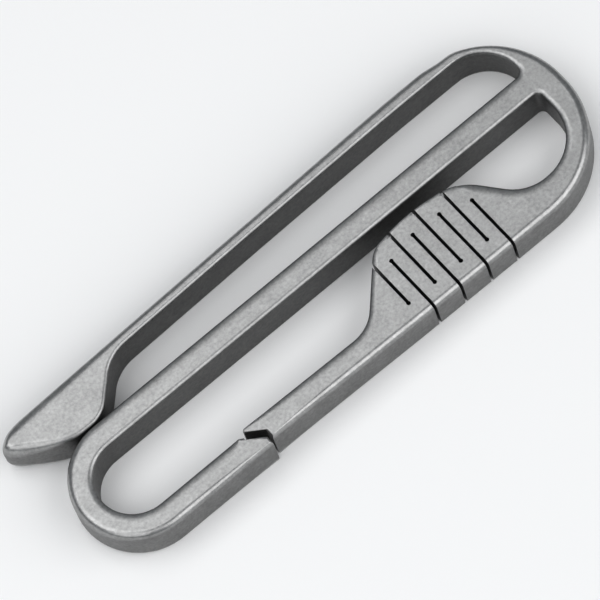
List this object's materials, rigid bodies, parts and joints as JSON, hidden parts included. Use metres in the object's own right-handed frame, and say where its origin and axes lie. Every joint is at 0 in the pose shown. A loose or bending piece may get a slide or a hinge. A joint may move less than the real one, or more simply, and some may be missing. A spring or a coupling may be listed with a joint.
{
  "type": "belt key clip",
  "caption": "Flat metal spring clip: a long springy arm slips over a belt or pocket edge, and a latching gate on a zigzag spring closes a loop that holds keys.",
  "frame": {"origin": "middle of the bounding box, on the flat back face", "axes": "+X along the clip towards the round crown, +Y across it towards the belt arm, +Z through the plate, out of the face that the picture shows"},
  "size_m": [0.0728, 0.0228, 0.005],
  "materials": {
    "titanium": "bead-blasted grey titanium, matt, with cut walls a little darker"
  },
  "bodies": {
    "frame": {"frame": "titanium", "belt_arm_root": "titanium", "spring_web_1": "titanium"},
    "belt_arm": {"belt_arm": "titanium"},
    "spring_leaf_1": {"spring_leaf_1": "titanium", "spring_web_2": "titanium"},
    "spring_leaf_2": {"spring_leaf_2": "titanium", "spring_web_3": "titanium"},
    "spring_leaf_3": {"spring_leaf_3": "titanium", "spring_web_4": "titanium"},
    "spring_leaf_4": {"spring_leaf_4": "titanium", "spring_web_5": "titanium"},
    "spring_leaf_5": {"spring_leaf_5": "titanium", "spring_web_6": "titanium"},
    "spring_leaf_6": {"spring_leaf_6": "titanium", "spring_web_7": "titanium"},
    "spring_leaf_7": {"spring_leaf_7": "titanium", "spring_web_8": "titanium"},
    "gate": {"gate": "titanium"}
  },
  "joints": [
    {"name": "belt_arm_flex", "type": "hinge", "parent": "frame", "child": "belt_arm", "pos_m": [0.01934, 0.01055, 0.0025], "axis": [0, 0, -1], "range_deg": [0, 5], "stiffness_Nm_per_rad": 6.3, "deforming": ["belt_arm_root"]},
    {"name": "gate_flex", "type": "hinge", "parent": "frame", "child": "gate", "pos_m": [0.01315, -0.00636, 0.0025], "axis": [0, 0, -1], "range_deg": [0, 12], "stiffness_Nm_per_rad": 1, "deforming": ["spring_web_8"]},
    {"name": "leaf_flex_1", "type": "hinge", "parent": "frame", "child": "spring_leaf_1", "pos_m": [0.01955, -0.00443, 0.0025], "axis": [0, 0, -1], "range_deg": [0, 1.5], "deforming": ["spring_web_1"]},
    {"name": "leaf_flex_2", "type": "hinge", "parent": "frame", "child": "spring_leaf_2", "pos_m": [0.01864, -0.00677, 0.0025], "axis": [0, 0, -1], "range_deg": [0, 3], "deforming": ["spring_web_2"]},
    {"name": "leaf_flex_3", "type": "hinge", "parent": "frame", "child": "spring_leaf_3", "pos_m": [0.01773, -0.00559, 0.0025], "axis": [0, 0, -1], "range_deg": [0, 4.5], "deforming": ["spring_web_3"]},
    {"name": "leaf_flex_4", "type": "hinge", "parent": "frame", "child": "spring_leaf_4", "pos_m": [0.01681, -0.00646, 0.0025], "axis": [0, 0, -1], "range_deg": [0, 6], "deforming": ["spring_web_4"]},
    {"name": "leaf_flex_5", "type": "hinge", "parent": "frame", "child": "spring_leaf_5", "pos_m": [0.01589, -0.00579, 0.0025], "axis": [0, 0, -1], "range_deg": [0, 7.5], "deforming": ["spring_web_5"]},
    {"name": "leaf_flex_6", "type": "hinge", "parent": "frame", "child": "spring_leaf_6", "pos_m": [0.01498, -0.00633, 0.0025], "axis": [0, 0, -1], "range_deg": [0, 9], "deforming": ["spring_web_6"]},
    {"name": "leaf_flex_7", "type": "hinge", "parent": "frame", "child": "spring_leaf_7", "pos_m": [0.01406, -0.00598, 0.0025], "axis": [0, 0, -1], "range_deg": [0, 10.5], "deforming": ["spring_web_7"]}
  ],
  "couplings": [
    {"joint": "leaf_flex_1", "follows": "gate_flex", "ratio": 0.125},
    {"joint": "leaf_flex_2", "follows": "gate_flex", "ratio": 0.25},
    {"joint": "leaf_flex_3", "follows": "gate_flex", "ratio": 0.375},
    {"joint": "leaf_flex_4", "follows": "gate_flex", "ratio": 0.5},
    {"joint": "leaf_flex_5", "follows": "gate_flex", "ratio": 0.625},
    {"joint": "leaf_flex_6", "follows": "gate_flex", "ratio": 0.75},
    {"joint": "leaf_flex_7", "follows": "gate_flex", "ratio": 0.875}
  ]
}
